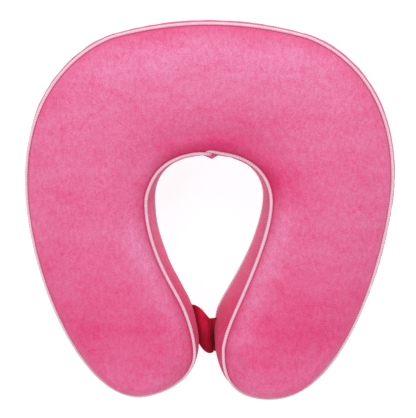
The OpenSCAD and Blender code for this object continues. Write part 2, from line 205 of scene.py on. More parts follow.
def wall_reach(arm, steps, z):
    """How far the wall stands out past the top seam, at these steps and heights."""
    return bulge_at(arm, steps) * wall_shape(z) + lean_at(arm, steps) * lean_shape(z)


def crown_at(width):
    """The crown's height where the pillow is this wide."""
    return CROWN * (1 - (1 - np.minimum(1, width / FULL_WIDTH)) ** 2.5)


def crown_shape(v):
    return np.maximum(0, 1 - np.abs(2 * v - 1) ** 3) ** 0.85


def tip_fade(steps):
    return np.interp(steps, [TIP_AT - 4, TIP_AT - 2, TIP_AT - 0.5], [1, 0.6, 0.06])


def grain(place, scale, seed=0.0):
    """Smooth noise from about -1 to 1 whose bumps are about scale across."""
    spot = Vector(tuple(float(x) / scale for x in place)) + Vector((seed, 1.7 * seed, -seed))
    return noise.noise(spot, noise_basis="PERLIN_ORIGINAL")


def grains(places, scale, seed=0.0):
    flat = places.reshape(-1, places.shape[-1])
    if flat.shape[1] == 2:
        flat = np.concatenate([flat, np.zeros((len(flat), 1))], 1)
    return np.array([grain(p, scale, seed) for p in flat]).reshape(places.shape[:-1])


# ---- Materials ----


def node(tree, kind, inputs=None, **settings):
    """A new shader node; an input's value is a number, a colour or another node's socket."""
    made = tree.nodes.new(kind)
    for key, value in settings.items():
        setattr(made, key, value)
    for key, value in (inputs or {}).items():
        if isinstance(value, bpy.types.NodeSocket):
            tree.links.new(value, made.inputs[key])
        else:
            made.inputs[key].default_value = value
    return made


def calc(tree, operation, a, b=0.5):
    return node(tree, "ShaderNodeMath", {0: a, 1: b}, operation=operation).outputs[0]


def mixed(tree, factor, a, b):
    return node(tree, "ShaderNodeMix", {0: factor, 6: a, 7: b}, data_type="RGBA").outputs[2]


def ranged(tree, value, low, high, to_low=0.0, to_high=1.0):
    ends = {"Value": value, "From Min": low, "From Max": high, "To Min": to_low, "To Max": to_high}
    return node(tree, "ShaderNodeMapRange", ends).outputs[0]


def spots(tree, across, along=None, up=None, detail=2.0, seed=0.0):
    """Noise whose spots have these sizes in millimetres along X, Y and Z."""
    along = along or across
    up = up or across
    where = node(tree, "ShaderNodeTexCoord").outputs["Object"]
    scaled = node(tree, "ShaderNodeMapping", {
        "Vector": where, "Location": (seed, seed, seed),
        "Scale": tuple(1 / (size * MM) for size in (across, along, up))}).outputs[0]
    return node(tree, "ShaderNodeTexNoise", {"Vector": scaled, "Scale": 1.0, "Detail": detail,
                                             "Roughness": 0.55}).outputs["Fac"]


def attribute(tree, name):
    return node(tree, "ShaderNodeAttribute", attribute_name=name).outputs["Fac"]


def rgba(colour):
    return (*colour, 1.0)


def bumped(tree, height, strength, distance_mm):
    return node(tree, "ShaderNodeBump", {
        "Height": height, "Strength": strength, "Distance": distance_mm * MM}).outputs[0]


def new_material(name, **constants):
    """A material with its shader's constants set; returns it with its tree and shader."""
    material = bpy.data.materials.new(name)
    material.use_nodes = True
    shader = material.node_tree.nodes["Principled BSDF"]
    for key, value in constants.items():
        shader.inputs[key.replace("_", " ")].default_value = value
    return material, material.node_tree, shader


# Painted shade: a dark crimson laid into the seam creases beside the piping, where shade falls.
CREASE_SHADE = (0.70, 0.005, 0.14)
RIB_PITCH = 2.1


def velour(name, deep, light, pile=1.0, sheen=0.12):
    """Short pile: its colour runs from deep to light by a share of painted light (painted shade, painted
    sheen, painted highlights), with the fabric's random tone from noise.
    """
    material, tree, shader = new_material(
        name, Roughness=0.85, Sheen_Weight=sheen, Sheen_Roughness=0.45,
        Sheen_Tint=(1.0, 0.80, 0.88, 1.0), Specular_IOR_Level=0.15)
    patches = spots(tree, 45, 22, 30, detail=3.0)
    marks = spots(tree, 16, 7, 10, detail=3.0, seed=11.0)
    streaks = spots(tree, 3.2, 5.0, 5.0, detail=3.0, seed=3.0)
    specks = spots(tree, 1.1, detail=1.0, seed=7.0)
    # The share of painted light kept on each point: painted shade, painted sheen and painted highlights.
    painted_lighting = attribute(tree, "painted_light")
    fine = calc(tree, "ADD", ranged(tree, streaks, 0.3, 0.7, -0.24 * pile, 0.24 * pile),
                ranged(tree, specks, 0.3, 0.7, -0.32 * pile, 0.32 * pile))
    fine = calc(tree, "ADD", fine, ranged(tree, marks, 0.28, 0.5, -0.15 * pile, 0.02 * pile))
    fine = calc(tree, "MULTIPLY", fine, ranged(tree, painted_lighting, 0.1, 0.8, 0.45, 1.05))
    # The mix from deep to light: painted light plus the fabric's random tone.
    light_mix = calc(tree, "ADD", calc(tree, "ADD", painted_lighting, fine),
               ranged(tree, patches, 0.3, 0.7, -0.14, 0.14))
    light_mix = calc(tree, "MAXIMUM", calc(tree, "MINIMUM", light_mix, 1.3), -0.15)
    lit_pile_colour = node(tree, "ShaderNodeMix", {0: light_mix, 6: rgba(deep), 7: rgba(light)},
                       data_type="RGBA", clamp_factor=False).outputs[2]
    # Painted shade along the seams: this attribute mixes the pile colour towards the dark crease colour.
    seam_shade = attribute(tree, "seam_shade")
    tree.links.new(mixed(tree, seam_shade, lit_pile_colour, rgba(CREASE_SHADE)), shader.inputs["Base Color"])
    height = calc(tree, "ADD", calc(tree, "MULTIPLY", streaks, 0.6), specks)
    tree.links.new(bumped(tree, height, 0.35, 0.5), shader.inputs["Normal"])
    return material


def striped(tree, turns_u, turns_v):
    """Even stripes from 0 to 1, with this many to a unit of the map's U and V."""
    uv_map = node(tree, "ShaderNodeUVMap", uv_map="bias").outputs[0]
    axes = node(tree, "ShaderNodeSeparateXYZ", {0: uv_map}).outputs
    phase = calc(tree, "ADD", calc(tree, "MULTIPLY", axes[0], turns_u * math.tau),
                 calc(tree, "MULTIPLY", axes[1], turns_v * math.tau))
    return ranged(tree, calc(tree, "SINE", phase), -1.0, 1.0)


def satin_twill(name, thread, groove):
    """Bias cut satin: fine slanting ribs on a pale shiny thread."""
    material, tree, shader = new_material(
        name, Roughness=0.45, Specular_IOR_Level=0.35, Sheen_Weight=0.08, Sheen_Roughness=0.3)
    ribs = striped(tree, 1 / RIB_PITCH, 1.0)
    worn = ranged(tree, spots(tree, 9, seed=2.0), 0.35, 0.65, -0.25, 0.25)
    tone = calc(tree, "ADD", ribs, worn)
    # The piping's flank beside the panel is painted towards the crease colour: the velour's pile over
    # it, and painted shade in the seam.
    pile_and_shade_on_flank = ranged(tree, attribute(tree, "flank"), 0.55, 0.80, 0.0, 0.92)
    satin = mixed(tree, tone, rgba(groove), rgba(thread))
    tree.links.new(mixed(tree, pile_and_shade_on_flank, satin, rgba(CREASE_SHADE)), shader.inputs["Base Color"])
    tree.links.new(bumped(tree, ribs, 0.35, 0.2), shader.inputs["Normal"])
    return material


def woven(name, dark, light, pitch=1.0, roughness=0.8):
    """A close weave, from two crossed sets of stripes on the piece's own map in millimetres."""
    material, tree, shader = new_material(name, Roughness=roughness, Specular_IOR_Level=0.2,
                                          Sheen_Weight=0.2)
    warp = striped(tree, 1 / pitch, 0.5 / pitch)
    weft = striped(tree, -1 / pitch, 0.5 / pitch)
    weave = calc(tree, "MAXIMUM", warp, weft)
    tree.links.new(mixed(tree, weave, rgba(dark), rgba(light)), shader.inputs["Base Color"])
    tree.links.new(bumped(tree, weave, 0.5, 0.2), shader.inputs["Normal"])
    return material


def grained(name, dark, light, spot, bump, roughness=0.5, metallic=0.0, **constants):
    """A plain finish whose colour and surface vary by small spots."""
    material, tree, shader = new_material(name, Metallic=metallic, **constants)
    fine = spots(tree, spot, detail=3.0)
    broad = spots(tree, 12 * spot, seed=5.0)
    tone = ranged(tree, calc(tree, "ADD", fine, broad), 0.7, 1.3)
    tree.links.new(mixed(tree, tone, rgba(dark), rgba(light)), shader.inputs["Base Color"])
    rough = ranged(tree, broad, 0.3, 0.7, roughness - 0.08, roughness + 0.08)
    tree.links.new(rough, shader.inputs["Roughness"])
    tree.links.new(bumped(tree, fine, bump, 0.3), shader.inputs["Normal"])
    return material


# The velour's light colour is its own colour with a painted sheen; the strap's deep colour is painted
# shade and its light colour a painted highlight.
VELOUR = velour("velour", (0.76, 0.070, 0.215), (0.80, 0.235, 0.43))
CRIMSON = velour("strap_velour", (0.26, 0.003, 0.014), (0.76, 0.018, 0.085), pile=0.4, sheen=0.05)
SATIN = satin_twill("piping_satin", (0.86, 0.69, 0.76), (0.77, 0.53, 0.63))
TAPE = woven("zip_tape", (0.40, 0.07, 0.16), (0.62, 0.15, 0.28), pitch=0.9)
KNIT = woven("liner_knit", (0.74, 0.71, 0.66), (0.90, 0.88, 0.84), pitch=1.6)
COTTON = woven("piping_cord", (0.70, 0.69, 0.65), (0.90, 0.90, 0.87), pitch=1.2)
FOAM = grained("foam", (0.80, 0.68, 0.38), (0.92, 0.83, 0.56), 1.2, 0.5, roughness=0.9)
NYLON = grained("zip_coil", (0.52, 0.10, 0.21), (0.66, 0.17, 0.31), 0.5, 0.1, roughness=0.38)
NICKEL = grained("zip_metal", (0.52, 0.51, 0.50), (0.70, 0.69, 0.68), 0.6, 0.06, roughness=0.3,
                 metallic=1.0)
HOOKS = grained("hook_tape", (0.16, 0.004, 0.015), (0.26, 0.01, 0.03), 0.5, 0.2, roughness=0.45)
LOOPS = grained("loop_tape", (0.22, 0.008, 0.03), (0.40, 0.03, 0.07), 0.5, 0.6, roughness=0.85,
                Sheen_Weight=0.4)
THREAD = grained("thread", (0.42, 0.04, 0.12), (0.62, 0.09, 0.22), 0.4, 0.2, roughness=0.5)


# ---- Meshes ----


def grid_faces(rows, columns, wrap=False, flip=False):
    """Quads over a grid of points that are numbered row by row; wrap closes each row."""
    faces = []
    for i in range(rows - 1):
        for j in range(columns if wrap else columns - 1):
            m = (j + 1) % columns
            quad = [a * columns + b for a, b in ((i, j), (i, m), (i + 1, m), (i + 1, j))]
            faces.append(quad[::-1] if flip else quad)
    return faces


def ladder(ring, flip=False):
    """Faces that close a ring of numbered points, as rungs between its two long sides."""
    half = len(ring) // 2
    faces = [[ring[j], ring[j + 1], ring[-2 - j], ring[-1 - j]] for j in range(half - 1)]
    if len(ring) % 2:
        faces.append([ring[half - 1], ring[half], ring[half + 1]])
    return [f[::-1] for f in faces] if flip else faces


def smooth(mesh):
    mesh.polygons.foreach_set("use_smooth", [True] * len(mesh.polygons))


def placed(name, data):
    """A new object in the scene."""
    made = bpy.data.objects.new(name, data)
    bpy.context.scene.collection.objects.link(made)
    return made


def new_piece(name, points, faces, material, uv=None):
    """An object from points in millimetres; uv gives each point a place on its map."""
    mesh = bpy.data.meshes.new(name)
    mesh.from_pydata((np.asarray(points).reshape(-1, 3) * MM).tolist(), [], faces)
    if uv is not None:
        layer = mesh.uv_layers.new(name="bias")
        corner = np.zeros(len(mesh.loops), np.int32)
        mesh.loops.foreach_get("vertex_index", corner)
        layer.data.foreach_set("uv", np.asarray(uv, np.float32).reshape(-1, 2)[corner].ravel())
    smooth(mesh)
    mesh.materials.append(material)
    return placed(name, mesh)


def paint(piece, name, values):
    """Keeps a number for each point of the mesh, for its material."""
    made = piece.data.attributes.new(name, "FLOAT", "POINT")
    made.data.foreach_set("value", np.asarray(values, np.float32).ravel())


def applied(piece, kind, **settings):
    """Adds a modifier and applies it."""
    modifier = piece.modifiers.new(kind.title(), kind)
    for key, value in settings.items():
        setattr(modifier, key, value)
    bpy.context.view_layer.objects.active = piece
    with bpy.context.temp_override(object=piece, active_object=piece, selected_objects=[piece]):
        bpy.ops.object.modifier_apply(modifier=modifier.name)
    smooth(piece.data)
    return piece


def bevelled(piece, width, segments):
    return applied(piece, "BEVEL", width=width * MM, segments=segments, limit_method="ANGLE",
                   angle_limit=math.radians(40))


def thickened(piece, thickness):
    """Gives a sheet its thickness, on the inner side, with a closed rim."""
    return applied(piece, "SOLIDIFY", thickness=thickness * MM, offset=-1.0, use_even_offset=False)


def finished(piece, body, slot, *nodes, fill=None):
    """Puts a piece on its body and hides the CAD nodes that it stands for; slot is not used."""
    if body:
        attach(piece, body)
    if nodes:
        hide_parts(*nodes)
    return piece


def points_of(mesh):
    co = np.zeros(len(mesh.vertices) * 3, np.float32)
    mesh.vertices.foreach_get("co", co)
    return co.reshape(-1, 3).astype(float) / MM


# shrink_min below 0 is extra cloth, which makes soft puckers.
CLOTH = {"quality": 6, "mass": 0.25, "tension_stiffness": 12, "compression_stiffness": 12,
         "shear_stiffness": 4, "bending_stiffness": 0.6, "shrink_min": -0.012, "use_pressure": True}
CLOTH_FRAMES = 20


def inflate(piece, loose, cap, pressure):
    """Swells the cloth of a piece between its seams. loose is 0 at a seam and 1 where it is free;
    no point moves further than cap."""
    held = piece.vertex_groups.new(name="held")
    for k, free in enumerate(loose):
        held.add([k], float(1 - free), "REPLACE")
    cloth = piece.modifiers.new("Cloth", "CLOTH")
    settings = cloth.settings
    for key, value in CLOTH.items():
        setattr(settings, key, value)
    settings.uniform_pressure_force = pressure
    settings.vertex_group_mass = held.name
    settings.effector_weights.gravity = 0
    scene = bpy.context.scene
    scene.frame_start, scene.frame_end = 1, CLOTH_FRAMES
    cloth.point_cache.frame_start, cloth.point_cache.frame_end = 1, CLOTH_FRAMES
    for k in range(1, CLOTH_FRAMES + 1):
        scene.frame_set(k)
    before = points_of(piece.data)
    blown = piece.evaluated_get(bpy.context.evaluated_depsgraph_get())
    moved = points_of(blown.data) - before
    piece.modifiers.remove(cloth)
    piece.vertex_groups.remove(held)
    scene.frame_set(1)
    length = np.linalg.norm(moved, axis=1)
    keep = cap * np.tanh(length / cap) / np.maximum(length, 1e-9)
    after = before + moved * (keep * np.asarray(loose))[:, None]
    piece.data.vertices.foreach_set("co", (after * MM).ravel())
    piece.data.update()


def swept(path, radius, sides, ups):
    """Rings round a path. ups are directions across the path that each ring starts from."""
    way = np.gradient(path, axis=0)
    way /= np.linalg.norm(way, axis=1)[:, None]
    side = np.cross(way, ups)
    side /= np.linalg.norm(side, axis=1)[:, None]
    over = np.cross(side, way)
    angle = np.arange(sides) * math.tau / sides
    radius = np.broadcast_to(np.asarray(radius, float), len(path))[:, None, None]
    turn = (np.cos(angle)[None, :, None] * side[:, None, :]
            + np.sin(angle)[None, :, None] * over[:, None, :])
    return path[:, None, :] + radius * turn


def run_length(path):
    """The distance along a path to each of its points."""
    gaps = np.linalg.norm(np.diff(path, axis=0), axis=1)
    return np.concatenate([[0], np.cumsum(gaps)])


def tube_piece(name, path, radius, sides, material, ups=(0, 0, 1)):
    """A closed tube along a path, with a map of its length in millimetres and its turn."""
    rings = swept(path, radius, sides, np.broadcast_to(np.asarray(ups, float), path.shape))
    seamed = np.concatenate([rings, rings[:, :1]], 1)
    grid = seamed.shape[:2]
    along = np.broadcast_to(run_length(path)[:, None], grid)
    around = np.broadcast_to(np.arange(sides + 1)[None, :] / sides, grid)
    piece = new_piece(name, seamed, grid_faces(*grid), material, np.stack([along, around], -1))
    # flank is highest on the side of the tube that the satin darkens with painted seam shade.
    paint(piece, "flank", -np.cos(around * math.tau))
    # The lengthwise seam is welded and both ends are capped.
    bm = bmesh.new()
    bm.from_mesh(piece.data)
    bmesh.ops.remove_doubles(bm, verts=bm.verts, dist=1e-7)
    rims = [e for e in bm.edges if e.is_boundary]
    bmesh.ops.holes_fill(bm, edges=rims, sides=0)
    bmesh.ops.recalc_face_normals(bm, faces=bm.faces)
    bm.to_mesh(piece.data)
    bm.free()
    smooth(piece.data)
    return piece


def strand(line, radius, sides, ups):
    """The points and faces of a short closed tube."""
    last = (len(line) - 1) * sides
    caps = [list(range(sides))[::-1], list(range(last, last + sides))]
    points = swept(line, radius, sides, ups).reshape(-1, 3)
    return points, grid_faces(len(line), sides, wrap=True) + caps


def prism(low, high):
    """The points and faces of a closed solid between two outlines with as many corners."""
    n = len(low)
    faces = [list(range(n))[::-1], list(range(n, 2 * n))]
    faces += [[k, (k + 1) % n, n + (k + 1) % n, n + k] for k in range(n)]
    return low + high, faces


def joined(parts):
    """Several (points, faces) as one."""
    points, faces = [], []
    for part_points, part_faces in parts:
        faces += [[k + len(points) for k in f] for f in part_faces]
        points += [tuple(p) for p in part_points]
    return points, faces


def rounded(outline, radius, steps=4):
    """An outline with its corners cut to arcs."""
    outline = [np.array(p, float) for p in outline]
    made = []
    for k, corner in enumerate(outline):
        before, after = outline[k - 1], outline[(k + 1) % len(outline)]
        a = corner + (before - corner) / np.linalg.norm(before - corner) * radius
        b = corner + (after - corner) / np.linalg.norm(after - corner) * radius
        for t in np.linspace(0, 1, steps + 1):
            made.append(tuple((1 - t) ** 2 * a + 2 * (1 - t) * t * corner + t * t * b))
    return made


# ---- The filling and its liner ----

FOOT = 4
SHOULDER = 1.5
CROWN_PLAY = 1.8
ZIP_ROOM = 4
LINER_SLACK = 1.5
FINE = 3


def rung_steps(end, fine):
    """Pairs (arm, inner step) of a ladder of cross sections from the left tip to the right."""
    count = int(end * fine)
    down = [(LEFT_ARM, end * (1 - k / count)) for k in range(count)]
    return down + [(RIGHT_ARM, end * k / count) for k in range(count + 1)]


def room_at(step):
    """How much further in the filling's back wall is at this step, to clear the zip."""
    return float(np.interp(step, [LAST - HOLE_STEPS, ARC_FROM - 1, LAST], [0, ZIP_ROOM, ZIP_ROOM]))


def filled_section(arm, step, depth):
    """A cross section of the filling, set in by depth all round."""
    (p, q), (p_out, q_out) = seam(arm, [step, LAST - step])
    p_lean, q_lean = lean_at(arm, [step, LAST - step])
    room = room_at(LAST - step)
    heights = np.linspace(BAND_LOW, BAND_HIGH, 12)
    sink = depth + SHOULDER * np.clip((heights - BAND_HIGH + 6) / 6, 0, 1)

    def wall(place, out, at, extra):
        reach = wall_reach(arm, at, heights) - sink - extra
        return [(*(place + r * out), z) for r, z in zip(reach, heights)]

    low_p, low_q = p - (depth + FOOT - p_lean) * p_out, q - (depth + FOOT + room - q_lean) * q_out
    top_p, top_q = p - depth * p_out, q - (depth + room) * q_out
    lift = crown_at(np.linalg.norm(top_q - top_p)) * tip_fade(step)
    crown = [(*(top_p * (1 - v) + top_q * v), TOP_SEAM + lift * crown_shape(v) - depth - CROWN_PLAY)
             for v in 0.5 - 0.5 * np.cos(np.linspace(0.12, 0.88, 15) * math.pi)]
    sole = [(*(low_q * (1 - v) + low_p * v), depth) for v in (0, 0.25, 0.5, 0.75, 1)]
    return wall(p, p_out, step, 0) + crown + wall(q, q_out, LAST - step, room)[::-1] + sole


def filled_skin(name, depth, material):
    """The filling's closed skin at this depth, from the left tip round to the right."""
    rings = [filled_section(arm, step, depth) for arm, step in rung_steps(TIP_AT - 1, 2)]
    points = np.array(rings)
    rows, columns = points.shape[:2]
    faces = grid_faces(rows, columns, wrap=True)
    faces += ladder(list(range(columns)), flip=True)
    faces += ladder([(rows - 1) * columns + k for k in range(columns)])
    around = [run_length(ring) for ring in points]
    along = np.broadcast_to(run_length(points[:, 0])[:, None], (rows, columns))
    return new_piece(name, points, faces, material, np.stack([along, around], -1))


def make_filling():
    liner_depth = FABRIC_T + PLAY + LINER_SLACK
    foam = filled_skin("foam_core_shape", liner_depth + LINER_T + PLAY, FOAM)
    finished(foam, "pillow", "foam", "foam_core", fill=1.0)
    liner = thickened(filled_skin("foam_liner_knit", liner_depth, KNIT), LINER_T)
    finished(liner, "pillow", "liner_knit", "foam_liner")


# ---- Top and bottom panels ----

PANEL_COLUMNS = 34
EDGE_IN = 1.6
EDGE_DROP = 1.6
BOTTOM_ROLL = 6.0
PUCKER_REACH = 9
PANEL_END = TIP_AT - 0.04
PANEL_T = 0.8 * FABRIC_T


def sewn_up(piece):
    """Smooths a sheet of velour and gives it its thickness."""
    applied(piece, "SUBSURF", levels=1)
    thickened(piece, PANEL_T)


def panel_grid(end, inset, foot=False):
    """Flat places of a panel's grid, how far each is from a seam, the rungs' widths and steps."""
    v = 0.5 - 0.5 * np.cos(np.linspace(0, math.pi, PANEL_COLUMNS))
    places, widths, steps = [], [], []
    for arm, step in rung_steps(end, FINE):
        (p, q), (p_out, q_out) = seam(arm, [step, LAST - step])
        p_lean, q_lean = lean_at(arm, [step, LAST - step]) * foot
        p, q = p - (inset - p_lean) * p_out, q - (inset - q_lean) * q_out
        places.append(p[None] * (1 - v[:, None]) + q[None] * v[:, None])
        widths.append(np.linalg.norm(q - p))
        steps.append(step)
    widths = np.array(widths)
    near = np.minimum(v, 1 - v)[None, :] * widths[:, None]
    return np.array(places), v, near, widths, np.array(steps)


def painted_light_at(places, v, near, widths, steps):
    """The panels' painted light: lightest at the back and darkest low on the arms, painted shade beside
    the hole, darker along the outer back seam, a painted highlight along the arms' inner sides and
    painted shade by every seam.
    """
    light_mix = np.interp(places[..., 1], [-150, -130, -95, -30, 40, 96, 130, 150],
                    [0.44, 0.36, 0.10, 0.46, 0.52, 0.66, 0.90, 0.66])
    inner, outer = v * widths[:, None], (1 - v) * widths[:, None]
    right = places[..., :1, 0] > 0
    beside_hole = np.clip((np.where(right, 14, 8) - steps[:, None]) / 4, 0, 1)
    at_back = np.clip((12 - steps) / 4, 0, 1)[:, None]
    along_arms = np.clip((steps - 12) / 3, 0, 1)[:, None] * np.clip((25 - steps) / 3, 0, 1)[:, None]
    # Painted shade where the panel slopes down into the hole.
    light_mix -= 0.28 * beside_hole * np.exp(-(inner / 17) ** 2)
    light_mix -= 0.24 * beside_hole * np.exp(-(inner / 42) ** 2)
    # Darker along the outer back seam.
    light_mix -= 0.38 * at_back * np.exp(-(outer / 10) ** 2)
    # A painted highlight along the arms' inner sides.
    light_mix += 0.46 * along_arms * np.exp(-((inner - 8) / 13) ** 2)
    # Painted shade by every seam.
    return light_mix - 0.10 * np.exp(-near / 3)


def make_top_panel():
    places, v, near, widths, steps = panel_grid(PANEL_END, EDGE_IN)
    lift = crown_at(widths) * tip_fade(steps)
    height = lift[:, None] * crown_shape(v)[None, :]
    # The edge turns down into the seam, steeply, beside the piping.
    rim = np.sqrt(np.clip(near / 2.2, 0, 1))
    z = TOP_SEAM - EDGE_DROP + (EDGE_DROP + 0.9) * rim * np.clip(widths / 12, 0.35, 1)[:, None]
    z = z + 0.97 * height
    soft = 1 - np.exp(-near / 14)
    waves = grains(places, 70, 2.0) * 1.1 * soft
    pucker = grains(places, PUCKER_REACH, 5.0) * 0.30 * np.exp(-near / 10) * np.clip(near / 3, 0, 1)
    z = z + waves + pucker
    piece = new_piece("top_panel_velour", raised(places, z), grid_faces(*z.shape), VELOUR)
    # Painted light over the panel, and painted shade in the crease beside the piping.
    paint(piece, "painted_light", painted_light_at(places, v, near, widths, steps))
    paint(piece, "seam_shade", 0.95 * np.exp(-(near / 1.5) ** 2))
    loose = np.clip((near - 1.5) / 8, 0, 1)
    loose[[0, 1, -2, -1]] = 0
    inflate(piece, loose.ravel(), cap=3.0, pressure=4.0)
    sewn_up(piece)
    finished(piece, "pillow", "velour", "top_panel", fill=0.95)


def make_bottom_panel():
    places, v, near, widths, steps = panel_grid(PANEL_END, EDGE_IN, foot=True)
    turn = np.clip(near / BOTTOM_ROLL, 0, 1)
    z = (BOTTOM_SEAM + 0.4) * (1 - np.sqrt(1 - (1 - turn) ** 2)) + 0.05
    pucker = grains(places, PUCKER_REACH, 9.0) * 0.25 * np.exp(-np.abs(near - 3) / 3)
    z = np.maximum(z + pucker, 0.05)
    faces = grid_faces(*z.shape, flip=True)
    piece = new_piece("bottom_panel_velour", raised(places, z), faces, VELOUR)
    # The panels' painted light, a little darker as painted shade underneath.
    paint(piece, "painted_light", painted_light_at(places, v, near, widths, steps) - 0.1)
    sewn_up(piece)
    finished(piece, "pillow", "velour", "bottom_panel", fill=0.95)


# ---- Walls ----

ROLL = 1.6
END_ROLL = 0.25
LIP = 1.5
LIP_Z = 65.5
PUCKER_AT = (2.3, 66.0)
PUCKER_OUT = 5.6


def edge_roll(distance, radius=ROLL):
    """How far cloth turns in at this distance from its edge."""
    t = np.clip(distance / radius, 0, 1)
    return radius * (1 - np.sqrt(np.maximum(0, 1 - (1 - t) ** 2)))


def wall_sheet(name, place, out, bulge, lean, low, high, rows, loose_cap):
    """A strip of the wall. place and out are its seam points; its edges and ends roll in."""
    z = low + (high - low) * (0.5 - 0.5 * np.cos(np.linspace(0, math.pi, rows)))
    along = run_length(place)
    total = along[-1]
    reach = bulge[:, None] * wall_shape(z)[None, :] + lean[:, None] * lean_shape(z)[None, :]
    # Round the back the wall stands a little proud just under the piping.
    proud = LIP * np.clip((np.where(out[:, 1] > 0, place[:, 1], 0) - 60) / 30, 0, 1)
    reach = reach + proud[:, None] * np.exp(-((z - LIP_Z) / 4.5) ** 2)
    edge = np.minimum(z - low, high - z)[None, :]
    from_end = np.minimum(along, total - along)
    reach = reach - edge_roll(edge) - edge_roll(from_end, END_ROLL)[:, None]
    flat = np.stack(np.broadcast_arrays(along[:, None], z[None, :]), -1)
    shape = np.minimum(np.clip(edge / 12, 0, 1), np.clip(from_end / 12, 0, 1)[:, None])
    where = np.stack(np.broadcast_arrays(place[:, :1], place[:, 1:], z[None, :]), -1)
    reach = reach + grains(where, 60, 3.0) * 0.7 * shape
    gathered = np.exp(-edge / 9) * np.clip(edge / 2, 0, 1) * np.clip(from_end / 12, 0, 1)[:, None]
    reach = reach + grains(where * [1, 1, 0.25], PUCKER_REACH, 6.0) * 0.35 * gathered
    # The gathered spot where the piping's ends cross, at the back of the hole.
    if place[:, 1].min() < 0:
        near_top = np.abs(place[:, 1] - HOLE_TOP[1]) < 8
        across = np.where(near_top, place[:, 0] - PUCKER_AT[0], 99)[:, None]
        across = np.abs(across) / np.where(across < 0, 13, 9)
        tuft = np.exp(-((z - PUCKER_AT[1]) / 4.5) ** 2) * np.clip(edge / 1.2, 0, 1)
        reach = reach + PUCKER_OUT * np.maximum(0, 1 - across) ** 1.2 * tuft
    points = raised(place[:, None, :] + reach[..., None] * out[:, None, :], z)
    piece = new_piece(name, points, grid_faces(len(place), rows), VELOUR, flat)
    # Painted light on the walls: painted shade towards the narrow gap between the arms, lighter towards
    # the foot, and painted shade by the seams.
    light_mix = np.interp(place[:, 1], [-125, -90, -50, 0, 60], [-0.1, 0.0, 0.3, 0.5, 0.5])[:, None]
    light_mix = light_mix + 0.12 * lean_shape(z)[None, :] - 0.15 * np.exp(-edge / 4)
    paint(piece, "painted_light", light_mix)
    # Painted shade in the creases along the seams and at the strip's ends.
    paint(piece, "seam_shade", 0.8 * np.exp(-(np.minimum(edge, from_end[:, None]) / 0.9) ** 2))
    loose = np.clip((edge - 1.5) / 8, 0, 1) * np.clip((from_end - 1.5) / 8, 0, 1)[:, None]
    inflate(piece, loose.ravel(), cap=loose_cap, pressure=3.0)
    sewn_up(piece)
    return piece


def around_steps(fine):
    """The seam line from the right end of the back arc round the tips to its left end."""
    count = int(ARC_FROM * fine)
    down = np.linspace(ARC_FROM, 0, count + 1)
    right, left = seam(RIGHT_ARM, down), seam(LEFT_ARM, down[::-1][1:])
    place = np.concatenate([right[0], left[0]])
    out = np.concatenate([right[1], left[1]])
    bulge, lean = (np.concatenate([of(RIGHT_ARM, down), of(LEFT_ARM, down[::-1][1:])])
                   for of in (bulge_at, lean_at))
    return place, out, bulge, lean


ZIP_Z = 30
ZIP_SLOT = 5.5
ZIP_HALF_ANGLE = math.radians(14)
WALL_TUCK = 0.6


def make_walls():
    low, high = BAND_LOW - WALL_TUCK, BAND_HIGH + WALL_TUCK
    band = wall_sheet("side_band_velour", *around_steps(6), low, high, 24, 1.1)
    finished(band, "pillow", "velour", "side_band", fill=0.9)
    angle = np.linspace(-BACK_HALF_ANGLE, BACK_HALF_ANGLE, 61)
    bulge = np.full(len(angle), BACK_BULGE)
    for which, z0, z1 in (("upper", ZIP_Z + ZIP_SLOT, high), ("lower", low, ZIP_Z - ZIP_SLOT)):
        strip = wall_sheet(f"zip_band_{which}_velour", on_arc(angle, BACK_R), facing(angle), bulge,
                           0 * bulge, z0, z1, 12, 1.0)
        finished(strip, "pillow", "velour", f"zip_band_{which}")


# ---- Piping ----

PIPING_STEP = 1.4


def seam_path(z):
    """The closed seam line at one height as an open path, from the hole's back to the right."""
    fine = np.linspace(0, LAST, 1200)
    halves = []
    for arm, steps in ((RIGHT_ARM, fine), (LEFT_ARM, fine[::-1])):
        place, out = seam(arm, steps)
        halves.append(place + (lean_at(arm, steps) * lean_shape(z))[:, None] * out)
    flat = np.concatenate([halves[0], halves[1][1:]])
    along = run_length(flat)
    even = np.linspace(0, along[-1], int(along[-1] / PIPING_STEP))
    path = np.stack([np.interp(even, along, flat[:, k]) for k in (0, 1)], -1)
    return raised(path, z), even, along[-1]


def crossed(path, even, total):
    """Lays the path's two ends across each other, the right one over the left."""
    start = np.exp(-(even / 7) ** 2)
    end = np.exp(-((total - even) / 7) ** 2)
    path = path.copy()
    path[:, 0] += -2.2 * start + 1.6 * end
    path[:, 1] += 1.7 * start - 0.9 * end
    path[:, 2] += 1.1 * start - 0.7 * end
    # The last of each end dives into the seam.
    path[:, 2] -= 1.6 * np.exp(-(even / 1.6) ** 2) + 1.6 * np.exp(-((total - even) / 1.6) ** 2)
    return path


def make_piping():
    for which, z in (("top", TOP_SEAM), ("bottom", BOTTOM_SEAM)):
        path, even, total = seam_path(z)
        path = crossed(path, even, total) if which == "top" else path[1:-1]
        uneven = 1 + 0.03 * np.array([grain((s, z, 0), 18) for s in run_length(path)])
        piping = tube_piece(f"{which}_piping_satin", path, PIPING_R * uneven, 14, SATIN)
        finished(piping, "pillow", "piping_satin", f"{which}_piping")
        cord = tube_piece(f"{which}_piping_cotton", path[1:-1:2], CORD_R, 8, COTTON)
        finished(cord, "pillow", "piping_cord", f"{which}_piping_cord")


# ---- Zip ----

def back_wall_at(z):
    """The back wall's radius at this height."""
    return BACK_R + BACK_BULGE * float(wall_shape(z))


ZIP_R = back_wall_at(ZIP_Z)
TAPE_FACE = ZIP_R - 2.4
TAPE_T = 0.6
COIL_MIDDLE = ZIP_R - 1.4
COIL_PITCH = 1.3
WIRE_R = 0.27
SLIDER_AT = math.radians(12.4)


